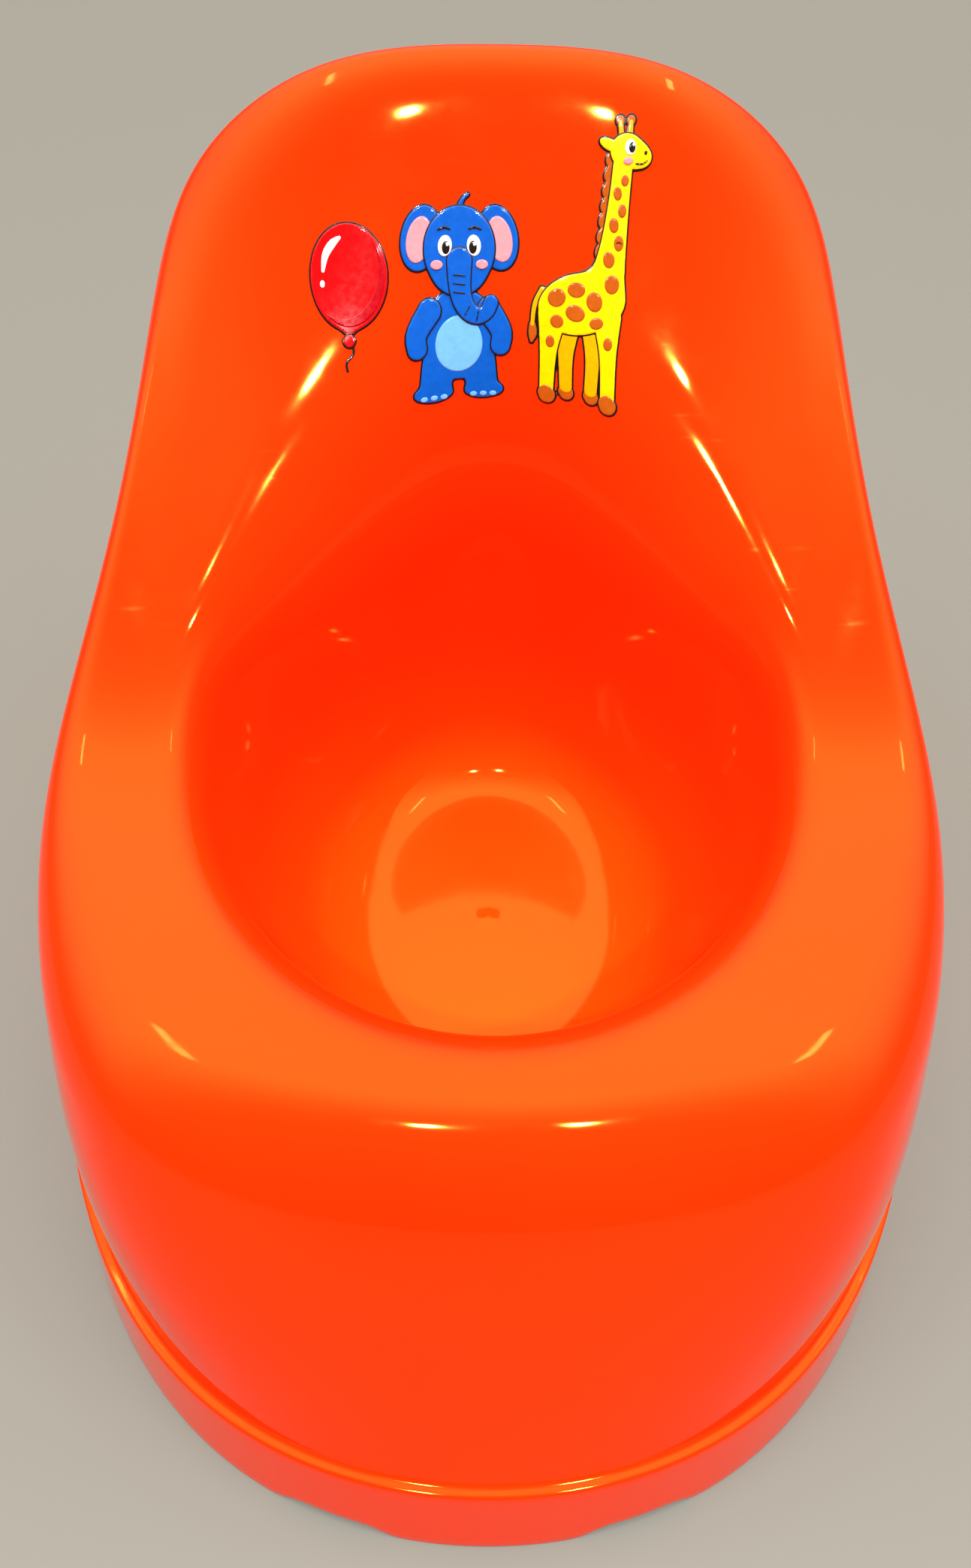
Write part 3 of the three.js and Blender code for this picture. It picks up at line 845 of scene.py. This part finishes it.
def cut_layer(drawing, layer, half_size):
    """Cuts one layer out of a grid: the cells whose middle is inside, their edge pulled onto the line.

    An edge point moves by its distance along the distance's gradient, three times over. Where two
    inside cells meet only at a corner, a third is filled in, so that the outline never crosses itself.
    Returns the points, the cells' corners, and the edges of the outline, inside on the left.
    """
    counts = [int(size / DRAWING_PITCH) for size in half_size]
    axes = [np.arange(-count, count + 1) * DRAWING_PITCH for count in counts]
    points = np.stack(np.meshgrid(*axes, indexing="ij"), axis=-1)
    inside = drawing(points[:-1, :-1] + DRAWING_PITCH / 2)[layer][1] < 0
    inside[[0, -1]] = inside[:, [0, -1]] = False
    corner = np.ones(1)
    while corner.any():
        a, b, c, d = inside[:-1, :-1], inside[1:, :-1], inside[:-1, 1:], inside[1:, 1:]
        rising = a & d & ~b & ~c
        falling = b & c & ~a & ~d
        corner = rising | falling
        b |= rising
        a |= falling
    number = np.arange(points.shape[0] * points.shape[1]).reshape(points.shape[:2])
    corners = [number[:-1, :-1], number[1:, :-1], number[1:, 1:], number[:-1, 1:]]
    cells = np.stack([each[inside] for each in corners], axis=-1)
    outer = np.pad(~inside, 1, constant_values=True)
    beyond = [outer[1:-1, :-2], outer[2:, 1:-1], outer[1:-1, 2:], outer[:-2, 1:-1]]
    edges = [
        np.stack([corners[k][inside & off], corners[(k + 1) % 4][inside & off]], axis=-1)
        for k, off in enumerate(beyond)
    ]
    edges = np.concatenate(edges)
    flat = points.reshape(-1, 2)
    rim_points = np.unique(edges)
    for _ in range(3):
        here = flat[rim_points]
        distance = drawing(here)[layer][1]
        slope = [
            (drawing(here + step)[layer][1] - drawing(here - step)[layer][1]) / (2 * GRADIENT_STEP)
            for step in ((GRADIENT_STEP, 0), (0, GRADIENT_STEP))
        ]
        slope = np.stack(slope, axis=-1)
        steepness = np.maximum(np.sum(slope**2, axis=1), LEAST_SLOPE)
        move = distance[:, None] * slope / steepness[:, None]
        flat[rim_points] = here - np.clip(move, -LONGEST_MOVE, LONGEST_MOVE)
    used = np.unique(cells)
    return flat[used], np.searchsorted(used, cells), np.searchsorted(used, edges)


def face_points(x, z):
    """Points of the backrest's face, so far across and so high.

    Every section is interpolated at the height, and then the two sections either side of x.
    """
    floor_rounding = corner_list()[0][2]
    rows = np.array(outer_rows(FACE_SECTIONS)[FLOOR_RUN + floor_rounding + 1 :])
    across, depth = [], []
    for section in rows.transpose(1, 0, 2):
        rising = section[: section[:, 2].argmax()]
        across.append(np.interp(z, rising[:, 2], rising[:, 0]))
        depth.append(np.interp(z, rising[:, 2], rising[:, 1]))
    across, depth = np.array(across), np.array(depth)
    after = np.clip((across > x).sum(axis=0), 1, len(across) - 1)
    point = np.arange(len(x))
    share = (across[after - 1, point] - x) / (across[after - 1, point] - across[after, point])
    y = depth[after - 1, point] + share * (depth[after, point] - depth[after - 1, point])
    return np.stack([x, y, z], axis=-1)


def make_sticker(name, drawing, centre, half_size):
    """Lays a drawing's layers on the face, each a closed film, one above the other."""
    colours = bpy.context.scene.potty_colours
    film = bpy.context.scene.potty_sizes.film / MM
    inks = []
    vertices, faces, face_inks = [], [], []
    count = 0
    for layer, (ink, _) in enumerate(drawing(np.zeros((1, 2)))):
        flat, cells, edges = cut_layer(drawing, layer, half_size)
        x = centre[0] + flat[:, 0]
        z = centre[1] + FACE_CLIMB * flat[:, 1]
        across = face_points(x + 0.5, z) - face_points(x - 0.5, z)
        up = face_points(x, z + 0.5) - face_points(x, z - 0.5)
        normal = unit(np.cross(across, up))
        low = face_points(x, z) + (STICKER_LIFT + LAYER_STEP * film * layer) * normal
        vertices += [low, low + film * normal]
        n = len(low)
        sides = np.column_stack([edges, edges[:, ::-1] + n])
        quads = np.concatenate([cells[:, ::-1], cells + n, sides]) + count
        faces += quads.tolist()
        if ink not in inks:
            inks.append(ink)
        face_inks += [inks.index(ink)] * len(quads)
        count += 2 * n
    materials = [printed_ink(f"{ink}_ink", getattr(colours, ink)) for ink in inks]
    piece = mesh_object(name, np.concatenate(vertices), faces, materials, face_inks)
    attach(piece, "root")
    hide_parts(f"sticker_{name}")


class POTTY_OT_stickers(bpy.types.Operator):
    """Lays the balloon, the elephant and the giraffe on the backrest's face"""

    bl_idname = "potty.stickers"
    bl_label = "Stickers"

    def execute(self, context):
        make_sticker("balloon", balloon_drawing, BALLOON_AT, (15, 22))
        make_sticker("elephant", elephant_drawing, ELEPHANT_AT, (20, 32))
        make_sticker("giraffe", giraffe_drawing, GIRAFFE_AT, (21, 43))
        return {"FINISHED"}


class POTTY_OT_shell(bpy.types.Operator):
    """Moulds the shell: seat, bowl, backrest, outer wall, ledge and foot skirt in one wall"""

    bl_idname = "potty.shell"
    bl_label = "Shell"

    def execute(self, context):
        here = np.arange(COLUMNS)
        there = (here + 1) % COLUMNS
        phi = here / COLUMNS * 2 * pi
        rows = whole_section(phi)
        gate_nub(rows)
        top, *rings, bottom = rows
        count = len(rings)
        vertices = np.concatenate([*rings, top[:1], bottom[:1]])
        top_index = count * COLUMNS
        last = (count - 1) * COLUMNS
        faces = loop_faces(COLUMNS, count).tolist()
        faces += np.stack([np.full_like(here, top_index), here, there], axis=-1).tolist()
        faces += np.stack([np.full_like(here, top_index + 1), last + there, last + here], axis=-1).tolist()
        piece = mesh_object("shell", vertices, faces, [glossy_polypropylene()])
        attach(piece, "root")
        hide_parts("potty_shell")
        return {"FINISHED"}


class POTTY_OT_stage(bpy.types.Operator):
    """Lays the floor and sets the lights and the camera"""

    bl_idname = "potty.stage"
    bl_label = "Stage"

    def execute(self, context):
        scene = context.scene
        corners = FLOOR_HALF * np.array([[-1, -1, 0], [1, -1, 0], [1, 1, 0], [-1, 1, 0]])
        floor = mesh_object("floor", corners - (0, 0, FLOOR_DROP), [(0, 1, 2, 3)], [studio_floor()])
        self.sky(scene)
        for number, (x, y, watts) in enumerate(DOWNLIGHTS):
            lamp = self.lamp(f"downlight_{number}", "DISK", (x, y), (DOWNLIGHT_SIZE, DOWNLIGHT_SIZE), watts)
            lamp.rotation_euler = (-lamp.location).to_track_quat("-Z", "Y").to_euler()
        for number, (x, y, watts) in enumerate(TUBES):
            self.lamp(f"tube_{number}", "RECTANGLE", (x, y), TUBE_SIZE, watts)
        self.camera(scene)
        scene.view_settings.view_transform = "Standard"
        return {"FINISHED"}

    def sky(self, scene):
        """A pale room: dim walls that brighten smoothly towards the ceiling, and a dark side in front."""
        world = bpy.data.worlds.new("studio")
        world.use_nodes = True
        background = world.node_tree.nodes["Background"]
        background.inputs["Color"].default_value = linear("#FFFBF2")
        way = add_node(world, "ShaderNodeTexCoord").outputs["Generated"]
        height = add_node(world, "ShaderNodeSeparateXYZ", Vector=way).outputs["Z"]
        ceiling = add_node(
            world,
            "ShaderNodeMapRange",
            spread(*SKY_HEIGHTS, *SKY_STRENGTHS, interpolation_type="SMOOTHSTEP"),
            Value=height,
        )
        towards = add_node(world, "ShaderNodeVectorMath", {"operation": "DOT_PRODUCT"})
        world.node_tree.links.new(way, towards.inputs[0])
        towards.inputs[1].default_value = DARK_SIDE
        shade = add_node(
            world,
            "ShaderNodeMapRange",
            spread(*DARK_SIDE_EDGES, 1.0, DARK_SIDE_LIGHT, interpolation_type="SMOOTHSTEP"),
            Value=towards.outputs["Value"],
        )
        strength = add_node(world, "ShaderNodeMath", {"operation": "MULTIPLY"})
        world.node_tree.links.new(ceiling.outputs[0], strength.inputs[0])
        world.node_tree.links.new(shade.outputs[0], strength.inputs[1])
        world.node_tree.links.new(strength.outputs[0], background.inputs["Strength"])
        scene.world = world

    def lamp(self, name, shape, place, size, watts):
        """An area lamp in the ceiling, facing straight down."""
        light = bpy.data.lights.new(name, "AREA")
        light.shape = shape
        light.size, light.size_y = size
        light.energy = watts
        lamp = bpy.data.objects.new(name, light)
        lamp.location = (*place, CEILING_HEIGHT)
        bpy.context.scene.collection.objects.link(lamp)
        return lamp

    def camera(self, scene):
        """A camera held over the front of the chair, looking steeply down."""
        data = bpy.data.cameras.new("camera")
        data.sensor_width = CAMERA_SENSOR
        data.lens = CAMERA_LENS
        pitch, turn, roll = radians(CAMERA_PITCH), radians(CAMERA_TURN), radians(CAMERA_ROLL)
        forward = Vector((sin(turn) * cos(pitch), cos(turn) * cos(pitch), -sin(pitch)))
        right = forward.cross(Vector((0, 0, 1))).normalized()
        up = right.cross(forward)
        right, up = cos(roll) * right + sin(roll) * up, cos(roll) * up - sin(roll) * right
        camera = bpy.data.objects.new("camera", data)
        turned = Matrix((right, up, -forward)).transposed().to_4x4()
        camera.matrix_world = Matrix.Translation(CAMERA_PLACE) @ turned
        scene.collection.objects.link(camera)
        scene.camera = camera


class POTTY_PT_panel(bpy.types.Panel):
    """Lists the steps that build the chair"""

    bl_label = "Potty Chair"
    bl_idname = "POTTY_PT_panel"
    bl_space_type = "VIEW_3D"
    bl_region_type = "UI"
    bl_category = "Potty"

    def draw(self, context):
        for operator in OPERATORS:
            self.layout.operator(operator.bl_idname)
        for group in (context.scene.potty_sizes, context.scene.potty_colours):
            for name in group.__annotations__:
                self.layout.prop(group, name)


OPERATORS = (POTTY_OT_stage, POTTY_OT_shell, POTTY_OT_stickers)
CLASSES = (PottySizes, PottyColours, *OPERATORS, POTTY_PT_panel)


def register():
    for each in CLASSES:
        bpy.utils.register_class(each)
    bpy.types.Scene.potty_sizes = bpy.props.PointerProperty(type=PottySizes)
    bpy.types.Scene.potty_colours = bpy.props.PointerProperty(type=PottyColours)


def unregister():
    del bpy.types.Scene.potty_colours
    del bpy.types.Scene.potty_sizes
    for each in reversed(CLASSES):
        bpy.utils.unregister_class(each)


def main():
    register()
    bpy.ops.potty.stage()
    bpy.ops.potty.shell()
    bpy.ops.potty.stickers()


if __name__ == "__main__":
    main()
